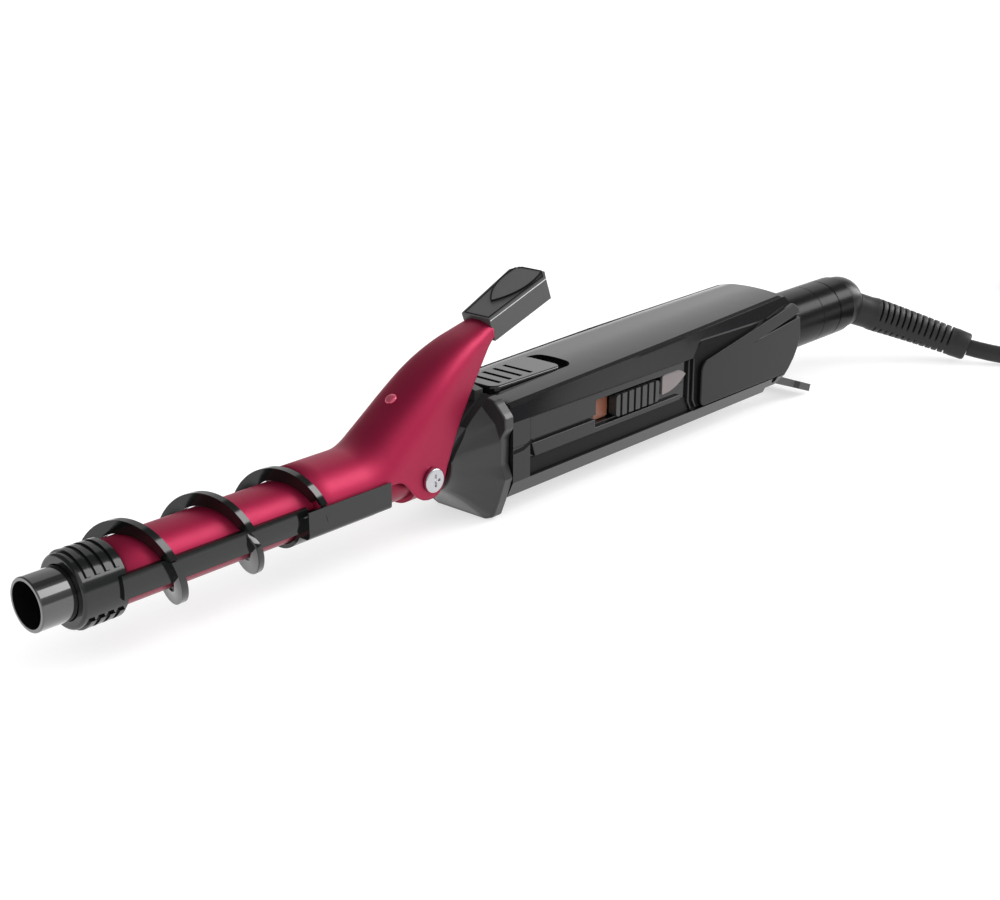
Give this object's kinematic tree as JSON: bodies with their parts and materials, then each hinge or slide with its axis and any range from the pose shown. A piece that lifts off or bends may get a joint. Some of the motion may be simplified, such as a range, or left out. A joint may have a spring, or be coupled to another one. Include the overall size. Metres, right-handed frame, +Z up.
{
  "type": "curling iron",
  "caption": "Curling iron with a slim barrel, sprung clamp with thumb lever, slip-on spiral ribbon, release slide, power slider and swivel cord.",
  "frame": {"origin": "centre of the resting footprint, without the cord", "axes": "+X from the tip towards the cord swivel, +Y across the handle, +Z up through the clamp lever"},
  "size_m": [0.5814, 0.0961, 0.067],
  "materials": {
    "black_gloss": "gloss",
    "black_matte": "satin",
    "fin_grey": "satin",
    "grey_satin": "satin",
    "crimson_metal": "satin metallic",
    "crimson_dark": "satin metallic",
    "screw_chrome": "polished",
    "spring_steel": "plain",
    "marker_orange": "satin",
    "lens_pale": "gloss",
    "board_green": "satin",
    "component_mix": "satin",
    "contact_brass": "plain",
    "wire_red": "matte",
    "ceramic_white": "matte",
    "spreader_alu": "cast",
    "cord_rubber": "matte"
  },
  "bodies": {
    "handle": {"handle_top_shell": "black_gloss", "handle_bottom_shell": "black_gloss", "tail_cover_near": "black_gloss", "tail_cover_far": "black_gloss", "power_marker": "marker_orange", "setting_lens": "lens_pale", "circuit_board": "board_green", "board_components": "component_mix", "slide_switch": "component_mix", "shell_screws": "spring_steel", "tong_socket": "black_matte", "socket_contacts": "contact_brass", "lead_wires": "wire_red", "loop_pins": "spring_steel", "swivel_base": "black_gloss", "swivel_ring": "black_gloss", "slip_brushes": "contact_brass", "release_spring": "spring_steel"},
    "release": {"release_slide": "grey_satin"},
    "power": {"power_knob": "black_matte"},
    "loop": {"hanging_loop": "grey_satin"},
    "swivel": {"swivel_cap": "black_gloss", "slip_rings": "contact_brass"},
    "cord_end": {"swivel_ball": "black_matte", "strain_relief": "cord_rubber", "cord_tube": "cord_rubber", "cord_coil": "cord_rubber", "cord_tail": "cord_rubber", "cord_tie": "black_matte", "plug_body": "black_matte", "plug_pins": "contact_brass"},
    "tong": {"nose_base": "black_matte", "plug_insert": "black_matte", "plug_prongs": "contact_brass", "barrel_tube": "crimson_dark", "cool_tip": "black_gloss", "heater_plate": "ceramic_white", "heat_spreaders": "spreader_alu", "thermal_fuse": "ceramic_white", "heater_leads": "wire_red", "pivot_collar": "crimson_dark", "pivot_screws": "screw_chrome"},
    "clamp": {"clamp_plate": "crimson_metal", "thumb_rest": "grey_satin", "lever_rivet": "crimson_metal", "clamp_spring": "spring_steel", "clamp_fins": "fin_grey"},
    "sleeve": {"spiral_sleeve": "fin_grey"}
  },
  "joints": [
    {"name": "tong_release", "type": "slide", "parent": "handle", "child": "tong", "axis": [-1, 0, 0], "range_m": [0, 0.04]},
    {"name": "clamp_hinge", "type": "hinge", "parent": "tong", "child": "clamp", "pos_m": [-0.06245, 0, 0.019], "axis": [0, 1, 0], "range_deg": [0, 12], "stiffness_Nm_per_rad": 0.35, "springref_deg": -20.05, "deforming": ["clamp_spring"]},
    {"name": "sleeve_off", "type": "slide", "parent": "tong", "child": "sleeve", "axis": [-1, 0, 0], "range_m": [0, 0.105]},
    {"name": "release_press", "type": "slide", "parent": "handle", "child": "release", "axis": [1, 0, 0], "range_m": [0, 0.004], "stiffness_N_per_m": 400, "springref_m": -0.002, "deforming": ["release_spring"]},
    {"name": "power_slide", "type": "slide", "parent": "handle", "child": "power", "axis": [-1, 0, 0], "range_m": [0, 0.008]},
    {"name": "cord_swivel", "type": "hinge", "parent": "handle", "child": "swivel", "pos_m": [0.17155, 0, 0.023], "axis": [1, 0, 0], "continuous": true},
    {"name": "cord_tilt", "type": "hinge", "parent": "swivel", "child": "cord_end", "pos_m": [0.17155, 0, 0.023], "axis": [0, 0.3873, -0.9219], "range_deg": [-50, 10]},
    {"name": "loop_fold", "type": "hinge", "parent": "handle", "child": "loop", "pos_m": [0.10255, 0, 0.0114], "axis": [0, 1, 0], "range_deg": [0, 30]}
  ]
}
